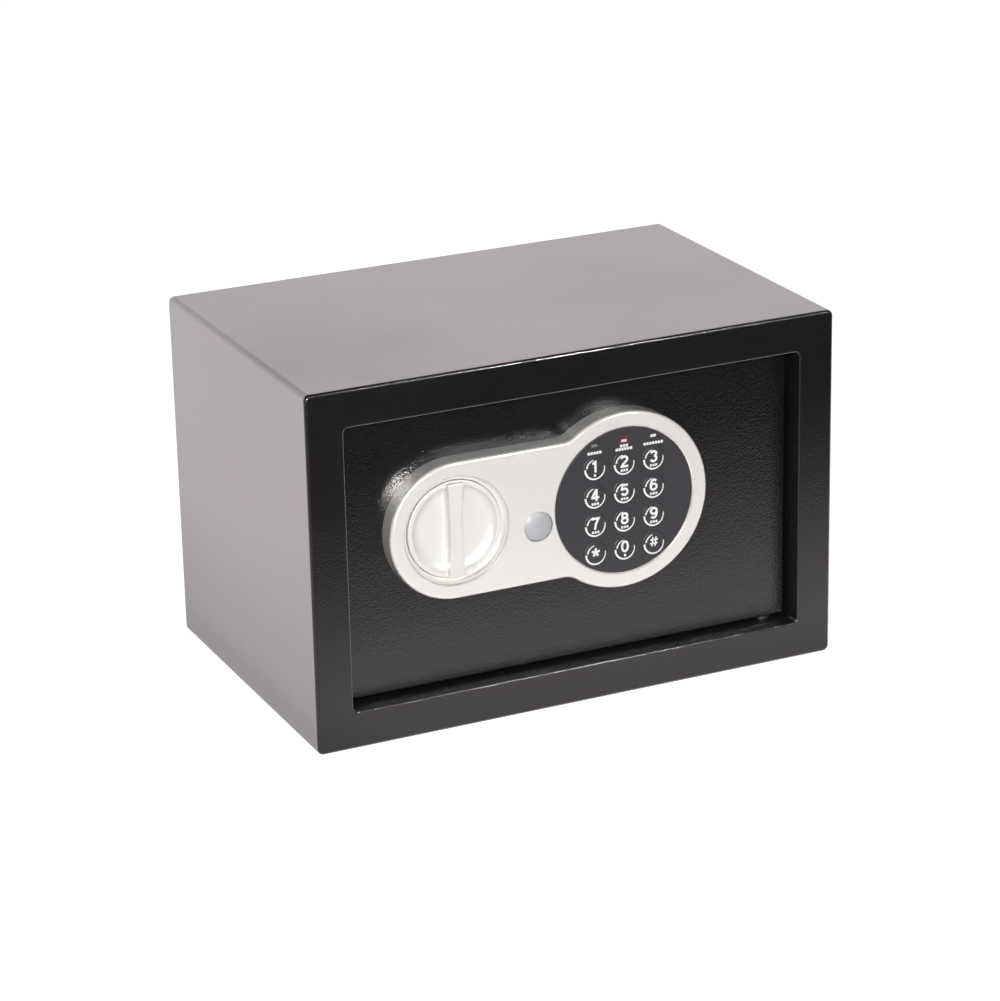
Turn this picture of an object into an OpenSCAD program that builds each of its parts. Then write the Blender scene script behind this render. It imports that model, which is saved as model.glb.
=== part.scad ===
// Small electronic safe: sheet-steel cabinet, recessed hinged door, keypad panel,
// turning knob with two sliding bolts, solenoid, emergency key lock and battery box.
// Millimetres. +Z is up, the door faces -Y, and the origin is the centre of the base.

/* [Cabinet] */
// Width of the cabinet
body_w = 310; // [296:2:400]
// Height of the cabinet
body_h = 200; // [196:2:300]
// Depth of the cabinet
body_d = 200; // [180:5:350]
// Thickness of the cabinet's sheet steel
sheet_t = 2; // [1.5:0.25:2.5]
// Radius of the cabinet's four long corners
corner_r = 3.5; // [3:0.5:8]
// Radius of the bend round the front and back edges
edge_r = 2; // [0.5:0.25:2]
// Width of the frame round the door opening
flange_w = 21; // [17:0.5:22]
// Depth of the frame's return lip, from the front of the cabinet
lip_d = 24; // [23:0.5:26]
// Radius of the door opening's corners
opening_r = 3; // [3:0.5:6]
// Diameter of the anchor holes in the base and the back
anchor_d = 10; // [8:1:14]
// Distance between the two anchor holes of one face
anchor_span = 140; // [100:10:180]
// Thickness of the floor mat
mat_t = 2; // [1:0.5:4]

/* [Door] */
// Thickness of the door plate
door_t = 3; // [2:0.25:4]
// How far the door lies behind the front of the cabinet
door_recess = 12; // [11.5:0.25:13]
// Gap between the door's edge and the opening
door_gap = 2; // [1.5:0.25:3]
// Diameter of the hinge pins
pin_d = 5; // [4:0.5:6]
// Radial running clearance of the hinge pins
pin_play = 0.05; // [0.02:0.01:0.1]
// Length of a hinge bracket's leg
bracket_l = 22; // [16:1:30]
// Thickness of a hinge bracket
bracket_t = 3; // [2.5:0.25:3.5]

/* [Control panel] */
// How far the panel stands off the door
panel_t = 11; // [10.5:0.25:13]
// Height of the panel's long axis above the middle of the cabinet
panel_rise = 11.75; // [10.5:0.25:13]
// Distance from the cabinet's left side to the knob
knob_inset = 83.7; // [82:0.5:90]
// Distance from the knob to the middle of the keypad
panel_span = 98.8; // [96:0.2:104]
// Radius of the panel's round end at the knob
tail_r = 38.3; // [37.5:0.1:40]
// Width of the ring round the keypad
head_rim = 9; // [8.5:0.25:11]
// Radius of the hollow blends between the tail and the head
neck_r = 13; // [8:0.5:20]
// Radius round the edge of the panel's face
panel_edge = 2; // [1:0.25:2.5]
// Thickness of the panel's face and walls
panel_wall = 2.5; // [2:0.25:3]

/* [Keypad] */
// Radius of the keypad's dark face
keypad_r = 41; // [41:0.25:44]
// How far the keypad's face lies below the panel's face
keypad_sink = 0.6; // [0.4:0.1:1.2]
// Thickness of the keypad's face
keypad_t = 2.5; // [2:0.25:3]
// Radius of a key
key_r = 7; // [6.4:0.1:7.2]
// Gap round a key
key_gap = 0.15; // [0.1:0.05:0.3]
// Travel of a key
key_travel = 0.8; // [0.4:0.1:1]
// Distance between the key columns
key_pitch_x = 17.6; // [17:0.1:18]
// Distance between the key rows
key_pitch_z = 16.2; // [16:0.1:16.4]
// Height of the first key row above the middle of the keypad
key_top = 20.75; // [20:0.25:22]
// Width of an indicator light
light_w = 3.5; // [2:0.25:5]
// Height of an indicator light
light_h = 1.5; // [1:0.25:2]

/* [Knob] */
// Radius of the knob
knob_r = 27; // [25:0.25:27.5]
// Radius of the dish round the knob, at the panel's face
dish_r = 30.5; // [29.5:0.25:32]
// Depth of the knob's rim below the panel's face
knob_sink = 3.2; // [2:0.2:4]
// Width of the grip bar at its waist
grip_w = 6.4; // [6:0.2:8]
// Radius of the grip bar's hollow flanks
grip_r = 230; // [120:10:300]
// Diameter of the knob's shaft
shaft_d = 6; // [5:0.25:6.5]
// Radial running clearance of the knob's shaft
shaft_play = 0.05; // [0.02:0.01:0.1]
// Radius from the knob's axis to the crank pin
crank_r = 10; // [9:0.5:11]
// Diameter of the crank pin
crank_d = 5; // [4:0.5:6]

/* [Bolts] */
// Diameter of a bolt
bolt_d = 16; // [12:1:18]
// Distance of each bolt above or below the knob
bolt_rise = 30; // [26:1:32]
// Gap between a drawn-back bolt and the door opening's side
bolt_gap = 4; // [3:0.5:6]
// Gap between the bolts and the back of the frame's lip
bolt_play = 2; // [1:0.5:3]
// Radial clearance of a bolt in its guide
bolt_fit = 0.08; // [0.04:0.01:0.1]
// Thickness of the carriage plate
carriage_t = 2; // [1.5:0.25:2.5]
// Diameter of the studs that guide the carriage
stud_d = 6; // [5:0.5:7]

/* [Solenoid] */
// Diameter of the plunger
plunger_d = 8; // [6:0.5:9]
// Travel of the plunger
plunger_travel = 6; // [5:0.5:7]
// Radius of the coil
coil_r = 7.8; // [7:0.1:7.9]
// Gap between the solenoid and the wall of the inner cover below it
coil_gap = 4.5; // [2:0.5:6]

/* [Emergency lock] */
// Distance from the keypad's edge to the middle of the emergency lock
lock_gap = 10.5; // [10.4:0.1:14]
// How far the emergency lock lies below the knob's height
lock_drop = 6; // [2:0.5:10]
// Radius of the grey plug over the keyhole
plug_r = 8.2; // [8:0.1:8.6]
// Height of the plug's dome
plug_dome = 2.1; // [0.8:0.1:2.1]
// Diameter of the lock cylinder
cylinder_d = 11; // [9:0.5:12]
// Length of the cam lever from the lock's axis
cam_l = 18; // [14:1:22]

/* [Inner cover and batteries] */
// Depth of the inner cover behind the door
cover_d = 43; // [41:0.5:50]
// Wall of the inner cover
cover_t = 2; // [1.5:0.25:2.5]
// Distance from the door's top and bottom edges to the inner cover
cover_margin = 8; // [7.5:0.5:9]
// Diameter of a battery
battery_d = 14.5; // [13.5:0.1:14.5]
// Length of a battery
battery_l = 50.5; // [44:0.5:51]
// Thickness of the battery cover
lid_t = 2; // [1.5:0.25:2.5]
// Radius of the reset button
reset_r = 4; // [3:0.5:5]
// Travel of the reset button
reset_travel = 1.5; // [0.5:0.25:2]

/* [Hidden] */
$fn = 96;
over = 1;
seat = 0.02;
cross = 0.02;

// Cabinet planes
front_y = -body_d / 2;
back_y = body_d / 2;
lip_y = front_y + lip_d;
outer_e = min(edge_r, sheet_t - 0.1);
inner_e = 1.2;
bend_w = 6;
opening_w = body_w - 2 * flange_w;
opening_h = body_h - 2 * flange_w;
anchor_z = body_h / 2;
mat_inset = 3;

// Door planes
door_y = front_y + door_recess;
door_back = door_y + door_t;
door_w = opening_w - 2 * door_gap;
door_h = opening_h - 2 * door_gap;
door_left = -door_w / 2;
door_bottom = (body_h - door_h) / 2;
door_top = door_bottom + door_h;
door_r = opening_r - 1;
door_e = 1;

// Hinge: the pivot lies behind the door's face, and far enough from its edge for the corner to swing
hinge_back = door_t + pin_d / 2 + 0.5;
swing_gap = door_gap - 0.45;
hinge_inset = (hinge_back * hinge_back - swing_gap * swing_gap) / (2 * swing_gap);
hinge_x = door_w / 2 - hinge_inset;
hinge_y = door_y + hinge_back;
hinge_r = pin_d / 2 + 2.5;
hinge_leg = 7;
tab_t = 4;
washer_gap = 0.1;
washer_r = pin_d / 2 + 2;

// Panel
face_y = door_y - panel_t;
knob_x = -body_w / 2 + knob_inset;
axis_z = body_h / 2 + panel_rise;
head_x = knob_x + panel_span;
head_r = keypad_r + head_rim;
neck_dx = sqrt(pow(head_r + neck_r, 2) - pow(tail_r + neck_r, 2));
neck_angle = atan2(tail_r + neck_r, neck_dx);
dish_wall = 2;
dish_arc = 5;
dish_edge = 0.5;
rib_z = 18;
rib_t = 1.6;
boss_r = 3.3;
screw_r = 1.5;
screw_play = 0.05;
screw_head = 3;
tail_boss = tail_r - panel_wall - boss_r + 0.8;
head_boss = head_r - head_rim / 2;
boss_places = [
    [knob_x + tail_boss * cos(135), axis_z + tail_boss * sin(135)],
    [knob_x + tail_boss * cos(225), axis_z + tail_boss * sin(225)],
    [head_x + head_boss * cos(60), axis_z + head_boss * sin(60)],
    [head_x + head_boss * cos(-60), axis_z + head_boss * sin(-60)]
];

// Keypad, with depths measured from the panel's face
rim_gap = 0.25;
rim_bevel = 0.8;
ledge_w = 2.75;
keypad_back = keypad_sink + keypad_t;
key_proud = 0.3;
key_edge = 0.3;
key_lip = 0.5;
key_lip_t = 0.7;
key_skirt = keypad_back + 0.1;
stem_end = key_skirt + key_lip_t + 1;
board_v = stem_end + key_travel + 0.1;
board_t = 1.6;
board_r = keypad_r - 3;
light_z = key_top + 13;
post_r = 2;

// Knob, with depths measured from the panel's face
pocket_v = panel_t - panel_wall;
knob_back = pocket_v - 0.2;
knob_gap = 0.4;
knob_edge = 0.8;
bowl_r = knob_r - 9;
bowl_v = knob_back - 1.6;
bowl_rim = knob_r - 2.4;
bowl_drop = bowl_v - knob_sink;
bowl_arc = (pow(bowl_rim - bowl_r, 2) + pow(bowl_drop, 2)) / (2 * bowl_drop);
grip_top = 0.2;
grip_fillet = 2.5;
grip_edge = 0.6;
grip_end = 1.2;
grip_dip = 1.2;
saddle_r = pow(knob_r - 4, 2) / (2 * grip_dip);
shaft_r = shaft_d / 2;
shaft_v = bowl_v - 0.9;
bush_r = shaft_r + 3.5;

// Boltwork planes
crank_y = door_back + 5;
crank_t = 3;
carriage_y = crank_y + crank_t + 0.5;
crank_pin = [crank_r * cos(45), crank_r * sin(45)];
bolt_travel = 2 * crank_pin[0];
bolt_r = bolt_d / 2;
bolt_y = lip_y + bolt_play + bolt_r;
bolt_tip = -opening_w / 2 + bolt_gap;
cover_side = 13;
cover_left = door_left + cover_side;
guide_x = cover_left + cover_t + 0.5;
guide_t = 3;
guide_foot = 14;
bolt_neck = 4;
flange_x = guide_x + guide_t + 1.4 + bolt_travel;
carriage_right = knob_x + 18.3;
carriage_h = bolt_rise + bolt_r + 4;
slot_play = 0.4;
stud_play = 0.15;
stud_x = flange_x + carriage_t + stud_d / 2 + 6;
stud_z = bolt_rise + 6;

// Solenoid
plunger_x = carriage_right - 5;
plunger_y = carriage_y + carriage_t / 2;
plunger_r = plunger_d / 2;
plunger_top = axis_z - carriage_h - 0.72 * plunger_travel;
frame_t = 1.5;
coil_top = plunger_top - plunger_travel - frame_t;
coil_bottom = door_bottom + cover_margin + cover_t + coil_gap + frame_t;
coil_l = coil_top - coil_bottom;
frame_half = coil_r + 1;
collar_top = plunger_top - 0.28 * plunger_travel - 0.4;
collar_t = 1;
spring_wire = 0.3;

// Emergency lock
lock_x = head_x - keypad_r - lock_gap;
lock_z = axis_z - lock_drop;
plug_gap = 0.25;
plug_skirt = 3;
plug_sink = 1.2;
cam_hub = 3.5;
lock_v = 6.5;
barrel_r = cylinder_d / 2 + 2.3;
barrel_end = door_back + 19;
nut_t = 4;
nut_r = barrel_r + 3.2;
cam_t = 2;
collar_v = panel_t - 1.8;
lock_collar_r = barrel_r + 1.7;

// Inner cover and what it holds
cover_right = hinge_x - 2 * hinge_leg;
cover_w = cover_right - cover_left;
cover_x = (cover_left + cover_right) / 2;
cover_bottom = door_bottom + cover_margin;
cover_h = door_h - 2 * cover_margin;
cover_z = cover_bottom + cover_h / 2;
cover_y = door_back + cover_d;
cover_r = 8;
cover_e = 3;
ear_r = cover_margin / 2;
ear_t = 2;
ear_dx = cover_w / 2 - bracket_l - hinge_leg;
ear_dz = cover_h / 2 + cover_margin / 2 - 0.2;
cell_pitch = battery_d + 0.5;
contact_t = 0.6;
contact_wire = 0.4;
contact_w = 10;
contact_coil = 4;
nub_r = 2.75;
nub_l = 1.2;
bay_wall = 1.5;
bay_w = 4 * cell_pitch + 1;
bay_h = battery_l + 6;
bay_side = 26;
bay_low = 10;
bay_x = cover_right - bay_side - bay_w / 2;
bay_z = cover_bottom + bay_low + bay_h / 2;
cell_y = cover_y - cover_t - 2.2 - battery_d / 2;
bay_floor = cell_y - battery_d / 2 - 0.3;
lid_gap = 0.2;
lid_w = bay_w + 6;
lid_h = bay_h + 6;
rail_t = 2;
rail_play = 0.3;
reset_side = 12;
reset_x = cover_right - reset_side;
reset_z = cover_z + cover_h / 2 - 30;
reset_proud = reset_travel + 0.3;
ribbon_w = 16;
ribbon_t = 0.6;
socket_w = ribbon_w + 3;
board_rim = 2;
main_left = head_x - socket_w / 2 - board_rim;
main_w = reset_x - main_left;
main_h = 50;
main_t = 1.6;
main_x = main_left + main_w / 2;
main_z = cover_bottom + cover_h - cover_r - main_h / 2;
main_post = 5;
main_y = door_back + main_post;
main_hole = 4;
relay = [19, 15, 6];
chip = [12, 12, 2];
buzzer_r = 6;
buzzer_h = 5;
socket_h = 6;
ribbon_z = main_z - main_h / 2 - socket_h;
plate_tap = 2;

function key_x(column) = head_x + (column - 1) * key_pitch_x;
function key_z(row) = axis_z + key_top - row * key_pitch_z;

// Things turned or drilled along the depth: +Z of the children points into the cabinet
module into(x, z, y) {
    translate([x, y, z]) rotate([-90, 0, 0]) children();
}

// A flat shape drawn in X and Z, from depth y and t thick
module slab(y, t) {
    translate([0, y + t, 0]) rotate([90, 0, 0]) linear_extrude(t) children();
}

module round_rect(w, h, r) {
    square([w - 2 * r, h], center = true);
    square([w, h - 2 * r], center = true);
    for (x = [-1, 1], z = [-1, 1])
        translate([x * (w / 2 - r), z * (h / 2 - r)]) circle(r);
}

// Sweeps a profile round a rectangle with round corners: its x points outward, its y into the cabinet
module around(w, h, r) {
    for (side = [0:3]) {
        reach = (side % 2 == 0 ? w : h) / 2;
        run = (side % 2 == 0 ? h : w) - 2 * r;
        rotate([0, -90 * side, 0]) {
            translate([reach, 0, -run / 2]) linear_extrude(run) children();
            translate([reach - r, 0, run / 2]) rotate([0, -90, 0]) rotate([-90, 0, 0])
                rotate_extrude(angle = 90) translate([r, 0]) children();
        }
    }
}

// A plate with round corners and a rounded front edge, its front at depth 0
module round_plate(w, h, t, r, e) {
    lap = (r - e) / 2;
    slab(0, t) round_rect(w - 2 * e, h - 2 * e, r - e);
    around(w - 2 * e, h - 2 * e, r - e) difference() {
        translate([-lap, 0]) square([e + lap, t]);
        difference() {
            translate([0, -over]) square([e + over, e + over]);
            translate([0, e]) circle(e);
        }
    }
}

// A tube of round wire wound on a cylinder along +Z
module coil(r, wire, h, turns) {
    steps = ceil(turns * 8);
    sides = 6;
    rise = atan2(h, 2 * PI * r * turns);
    points = [for (i = [0:steps], k = [0:sides - 1])
        let (a = 360 * turns * i / steps, b = 360 * k / sides, out = [cos(a), sin(a), 0],
            up = [sin(a) * sin(rise), -cos(a) * sin(rise), cos(rise)])
        [r * cos(a), r * sin(a), h * i / steps] + wire * (cos(b) * out + sin(b) * up)];
    walls = [for (i = [0:steps - 1], k = [0:sides - 1])
        let (a = i * sides + k, b = i * sides + (k + 1) % sides)
        each [[a, b, b + sides], [a, b + sides, a + sides]]];
    start = [for (k = [1:sides - 2]) [0, k + 1, k]];
    end = [for (k = [1:sides - 2]) [steps * sides, steps * sides + k, steps * sides + k + 1]];
    polyhedron(points, concat(walls, start, end));
}

// Cabinet

module body_shell() {
    color("#2b292c") difference() {
        slab(front_y + sheet_t, body_d - 2 * sheet_t) difference() {
            translate([0, body_h / 2]) round_rect(body_w, body_h, corner_r);
            translate([0, body_h / 2])
                round_rect(body_w - 2 * sheet_t, body_h - 2 * sheet_t, max(corner_r - sheet_t, 0.5));
        }
        for (side = [-1, 1])
            translate([side * anchor_span / 2, 0, -over]) cylinder(d = anchor_d, h = sheet_t + 2 * over);
    }
}

// The sheet at the opening: the flange bends inward, into the lip
module bend_profile() {
    difference() {
        union() {
            square([bend_w, sheet_t]);
            square([sheet_t, lip_d]);
        }
        difference() {
            translate([-over, -over]) square([inner_e + over, inner_e + over]);
            translate([inner_e, inner_e]) circle(inner_e);
        }
    }
}

module front_frame() {
    color("#262427") difference() {
        union() {
            difference() {
                translate([0, front_y, body_h / 2]) round_plate(body_w, body_h, sheet_t, corner_r, outer_e);
                slab(front_y - over, sheet_t + 2 * over) translate([0, body_h / 2])
                    round_rect(opening_w + 2 * bend_w, opening_h + 2 * bend_w, opening_r + bend_w);
            }
            translate([0, front_y, body_h / 2]) around(opening_w, opening_h, opening_r) bend_profile();
        }
        translate([hinge_x, hinge_y, flange_w - sheet_t - over])
            cylinder(d = pin_d + 2 * pin_play, h = body_h - 2 * flange_w + 2 * sheet_t + 2 * over);
    }
}

module back_panel() {
    color("#262427") difference() {
        translate([0, back_y, body_h / 2]) mirror([0, 1, 0])
            round_plate(body_w, body_h, sheet_t, corner_r, outer_e);
        for (side = [-1, 1])
            into(side * anchor_span / 2, anchor_z, back_y - sheet_t - over)
                cylinder(d = anchor_d, h = sheet_t + 2 * over);
    }
}

module floor_mat() {
    color("#3a3a3e") difference() {
        translate([0, 0, sheet_t]) linear_extrude(mat_t)
            round_rect(body_w - 2 * sheet_t - 2 * mat_inset, body_d - 2 * sheet_t - 2 * mat_inset, 4);
        for (side = [-1, 1])
            translate([side * anchor_span / 2, 0, sheet_t - over])
                cylinder(d = anchor_d, h = mat_t + 2 * over);
    }
}

module hinge_washers() {
    color("#b9babd") for (low = [flange_w, door_top + washer_gap])
        translate([hinge_x, hinge_y, low]) difference() {
            cylinder(r = washer_r, h = door_gap - washer_gap);
            translate([0, 0, -over]) cylinder(r = pin_d / 2 + 0.3, h = door_gap + 2 * over);
        }
}

// Door

module door_plate() {
    color("#242226") difference() {
        translate([0, door_y, body_h / 2]) round_plate(door_w, door_h, door_t, door_r, door_e);
        into(knob_x, axis_z, door_y - over) cylinder(r = bush_r + seat, h = door_t + 2 * over);
        into(lock_x, lock_z, door_y - over) cylinder(r = barrel_r + 0.1, h = door_t + 2 * over);
        for (p = boss_places)
            into(p[0], p[1], door_y - over) cylinder(r = screw_r + 0.4, h = door_t + 2 * over);
        for (x = [-1, 1], z = [-1, 1])
            into(cover_x + x * ear_dx, cover_z + z * ear_dz, door_back - plate_tap)
                cylinder(r = screw_r + screw_play, h = plate_tap + over);
        slab(door_y - over, door_t + 2 * over) translate([head_x, ribbon_z])
            round_rect(ribbon_w + 6, 8, 2);
    }
}

module hinge_bracket() {
    difference() {
        union() {
            translate([hinge_x - hinge_leg, door_back, door_top - bracket_l])
                cube([hinge_leg + hinge_r - 1, bracket_t, bracket_l]);
            translate([hinge_x, hinge_y, door_top - tab_t]) cylinder(r = hinge_r, h = tab_t);
            translate([hinge_x - hinge_leg, door_back, door_top - tab_t])
                cube([hinge_leg + hinge_r - 1, hinge_y - door_back, tab_t]);
            translate([hinge_x - hinge_leg, door_back, door_top - tab_t])
                cube([hinge_leg, hinge_y - door_back + hinge_r, tab_t]);
        }
        translate([hinge_x, hinge_y, door_top - tab_t]) cylinder(d = pin_d + 2 * seat, h = tab_t + over);
        translate([hinge_x - hinge_leg - over, front_y, door_top - bracket_l - over])
            cube([hinge_leg + hinge_r + 2 * over, door_back - front_y, bracket_l + 2 * over]);
    }
}

module mirrored_at(z) {
    children();
    translate([0, 0, 2 * z]) mirror([0, 0, 1]) children();
}

module hinge_brackets() {
    color("#8e8f93") mirrored_at(body_h / 2) hinge_bracket();
}

module hinge_pin() {
    length = tab_t + door_gap + sheet_t + 0.5;
    translate([hinge_x, hinge_y, door_top - tab_t]) {
        cylinder(d = pin_d, h = length);
        translate([0, 0, length]) cylinder(d1 = pin_d, d2 = pin_d - 1.4, h = 0.7);
    }
}

module hinge_pins() {
    color("#c4c5c8") mirrored_at(body_h / 2) hinge_pin();
}

// Control panel

// A block with the panel's outline, smaller all round by inset, from depth y and t thick
module panel_block(inset, y, t) {
    tail = tail_r - inset;
    head = head_r - inset;
    neck = neck_r + inset;
    touch = [-neck_dx, tail_r + neck_r] * head / (head + neck);
    into(knob_x, axis_z, y) cylinder(r = tail, h = t);
    into(head_x, axis_z, y) cylinder(r = head, h = t);
    difference() {
        slab(y, t) translate([head_x, axis_z]) polygon([
            [-panel_span, tail], [-neck_dx, tail], touch, [0, 0],
            [touch[0], -touch[1]], [-neck_dx, -tail], [-panel_span, -tail]
        ]);
        for (z = [-1, 1])
            into(head_x - neck_dx, axis_z + z * (tail_r + neck_r), y - over)
                cylinder(r = neck + cross, h = t + 2 * over);
    }
}

// What is cut away along the outline to round the edge of the face
module edge_cut() {
    difference() {
        translate([-panel_edge, -over]) square([panel_edge + over, panel_edge + over]);
        translate([-panel_edge, panel_edge]) circle(panel_edge);
    }
}

module tail_edge_cut() {
    into(knob_x, axis_z, face_y) rotate([0, 0, 90])
        rotate_extrude(angle = 180) translate([tail_r + cross, 0]) edge_cut();
}

module head_edge_cut() {
    into(head_x, axis_z, face_y) rotate([0, 0, neck_angle - 180])
        rotate_extrude(angle = 360 - 2 * neck_angle) translate([head_r + cross, 0]) edge_cut();
}

module run_edge_cut(side) {
    into(knob_x, axis_z, face_y) mirror([0, side, 0]) translate([0, tail_r + cross, 0]) rotate([90, 0, 90])
        linear_extrude(panel_span - neck_dx) edge_cut();
}

module neck_edge_cut(side) {
    into(head_x - neck_dx, axis_z, face_y) mirror([0, side, 0]) translate([0, tail_r + neck_r, 0])
        rotate_extrude() difference() {
            translate([0, -over]) square([neck_r + panel_edge, panel_edge + over]);
            translate([neck_r + panel_edge, panel_edge]) circle(panel_edge);
        }
}

// The block with the edge of its face rounded. The cuts along the tail and the head are a hair shallower
// than the flared cuts at the necks, so each ends inside its neighbour and the surfaces really cross
module panel_body() {
    difference() {
        panel_block(0, face_y, panel_t);
        tail_edge_cut();
        head_edge_cut();
        run_edge_cut(0);
        run_edge_cut(1);
        neck_edge_cut(0);
        neck_edge_cut(1);
    }
}

// The hollow behind the panel's face, open towards the door
module panel_hollow() {
    difference() {
        panel_block(panel_wall, face_y + panel_wall, panel_t);
        into(knob_x, axis_z, face_y) cylinder(r = dish_r + dish_wall, h = 2 * panel_t);
        into(head_x, axis_z, face_y) cylinder(r = keypad_r + rim_gap + panel_wall, h = 2 * panel_t);
        into(lock_x, lock_z, face_y) cylinder(r = lock_collar_r + panel_wall, h = 2 * panel_t);
        for (p = boss_places) into(p[0], p[1], face_y) cylinder(r = boss_r, h = 2 * panel_t);
        for (z = [-1, 1])
            translate([knob_x, face_y, axis_z + z * rib_z - rib_t / 2])
                cube([panel_span, 2 * panel_t, rib_t]);
    }
}

// The dish that the knob turns in: a hollow curved wall, then a straight pocket
module dish_profile() {
    translate([0, -over]) square([knob_r + knob_gap, pocket_v + over]);
    intersection() {
        translate([dish_r - dish_arc, 0]) circle(dish_arc);
        square([dish_r, dish_arc]);
    }
    translate([0, -over]) square([dish_r, over]);
    polygon([[0, -over], [dish_r + dish_edge + over, -over], [dish_r, dish_edge], [0, dish_edge]]);
}

module panel_housing() {
    ring = keypad_r + rim_gap;
    color("#c9c8c6") difference() {
        panel_body();
        panel_hollow();
        into(knob_x, axis_z, face_y) {
            rotate_extrude() dish_profile();
            cylinder(r = bush_r + 0.1, h = panel_t + over);
        }
        into(head_x, axis_z, face_y) {
            translate([0, 0, -over]) cylinder(r = ring, h = keypad_back + over);
            translate([0, 0, -over])
                cylinder(r1 = ring + rim_bevel + over, r2 = ring, h = rim_bevel + over);
            cylinder(r = ring - ledge_w, h = panel_t + over);
        }
        for (c = [0:2], r = [0:3])
            into(key_x(c), key_z(r), face_y) cylinder(r = key_r + key_lip + 0.4, h = panel_t + over);
        into(lock_x, lock_z, face_y) {
            translate([0, 0, -over]) cylinder(r = plug_r + plug_gap, h = panel_t + 2 * over);
            translate([0, 0, collar_v - 0.1]) cylinder(r = lock_collar_r + 0.2, h = panel_t);
        }
        for (p = boss_places) into(p[0], p[1], face_y + panel_wall + 0.5)
            cylinder(r = screw_r + screw_play, h = panel_t);
    }
}

module keypad_face() {
    color("#454347") difference() {
        into(head_x, axis_z, face_y) {
            translate([0, 0, keypad_sink]) rotate_extrude() difference() {
                square([keypad_r, keypad_t]);
                translate([keypad_r, 0]) circle(0.4);
            }
            for (x = [-1, 1]) {
                translate([x * key_pitch_x * 1.7, 0, keypad_back - 0.5]) board_post();
                for (z = [3 * key_pitch_z - key_top + 5.2, -key_top - 10.5])
                    translate([x * key_pitch_x / 2, z, keypad_back - 0.5]) board_post();
            }
        }
        for (c = [0:2], r = [0:3]) into(key_x(c), key_z(r), face_y)
            cylinder(r = key_r + key_gap, h = keypad_back + 0.2);
        for (c = [0:2]) slab(face_y, keypad_back + over) translate([key_x(c), axis_z + light_z])
            square([light_w, light_h], center = true);
    }
}

module board_post() {
    cylinder(r = post_r, h = board_v - keypad_back + 0.5);
}

module indicator_lights() {
    color("#d9a9ae") for (c = [0:2])
        slab(face_y + keypad_sink, keypad_t) translate([key_x(c), axis_z + light_z])
            square([light_w - 2 * seat, light_h - 2 * seat], center = true);
}

module keypad_board() {
    color("#2f6b3f") union() {
        into(head_x, axis_z, face_y + board_v) cylinder(r = board_r, h = board_t);
        slab(face_y + board_v + board_t - 0.2, 1.2) translate([head_x, ribbon_z])
            square([socket_w, socket_h - 2], center = true);
    }
}

module key_cap(column, row) {
    top = keypad_sink - key_proud;
    color("#454347") into(key_x(column), key_z(row), face_y) rotate_extrude() {
        difference() {
            translate([0, top]) square([key_r, key_skirt - top + 0.1]);
            difference() {
                translate([key_r - key_edge, top - over]) square([key_edge + over, key_edge + over]);
                translate([key_r - key_edge, top + key_edge]) circle(key_edge);
            }
        }
        translate([0, key_skirt]) square([key_r + key_lip, key_lip_t]);
        translate([0, key_skirt]) square([2, stem_end - key_skirt]);
    }
}

module key_1() key_cap(0, 0);
module key_2() key_cap(1, 0);
module key_3() key_cap(2, 0);
module key_4() key_cap(0, 1);
module key_5() key_cap(1, 1);
module key_6() key_cap(2, 1);
module key_7() key_cap(0, 2);
module key_8() key_cap(1, 2);
module key_9() key_cap(2, 2);
module key_star() key_cap(0, 3);
module key_0() key_cap(1, 3);
module key_hash() key_cap(2, 3);

// Knob and boltwork

module flank_profile() {
    translate([0, -over]) square([grip_r - grip_fillet, bowl_v + over]);
    translate([0, -over]) square([grip_r, bowl_v - grip_fillet + over]);
    translate([grip_r - grip_fillet, bowl_v - grip_fillet]) circle(grip_fillet);
    polygon([
        [0, -over], [grip_r + grip_edge + grip_top + over, -over], [grip_r, grip_top + grip_edge], [0, 1]
    ]);
}

module grip_bar() {
    difference() {
        rotate_extrude() difference() {
            translate([0, grip_top]) square([knob_r - 0.6, bowl_v - grip_top + 0.3]);
            difference() {
                translate([knob_r - 0.6 - grip_end, grip_top - over])
                    square([grip_end + over, grip_end + over]);
                translate([knob_r - 0.6 - grip_end, grip_top + grip_end]) circle(grip_end);
            }
        }
        for (side = [-1, 1]) translate([side * (grip_w / 2 + grip_r), 0, 0])
            rotate_extrude($fn = 720) flank_profile();
        translate([0, 0, grip_top + grip_dip - saddle_r]) rotate([0, 90, 0])
            cylinder(r = saddle_r, h = 2 * knob_r, center = true);
    }
}

module knob() {
    color("#cfcecb") into(knob_x, axis_z, face_y) difference() {
        union() {
            rotate_extrude() difference() {
                translate([0, knob_sink]) square([knob_r, knob_back - knob_sink]);
                translate([0, -over]) square([bowl_r, bowl_v + over]);
                translate([bowl_r, bowl_v - bowl_arc]) circle(bowl_arc);
                difference() {
                    translate([knob_r - knob_edge, knob_sink - over])
                        square([knob_edge + over, knob_edge + over]);
                    translate([knob_r - knob_edge, knob_sink + knob_edge]) circle(knob_edge);
                }
            }
            grip_bar();
        }
        translate([0, 0, shaft_v - 0.1]) cylinder(r = shaft_r + seat, h = knob_back);
    }
}

module knob_shaft() {
    color("#b9babd") into(knob_x, axis_z, face_y) {
        translate([0, 0, shaft_v]) cylinder(r = shaft_r, h = crank_y - face_y - shaft_v + 0.5);
        translate([0, 0, crank_y - face_y]) cylinder(r = crank_r + crank_d / 2 + 1.5, h = crank_t);
        translate([crank_pin[0], -crank_pin[1], crank_y - face_y])
            cylinder(d = crank_d, h = carriage_y + carriage_t + 1.5 - crank_y);
    }
}

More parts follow.
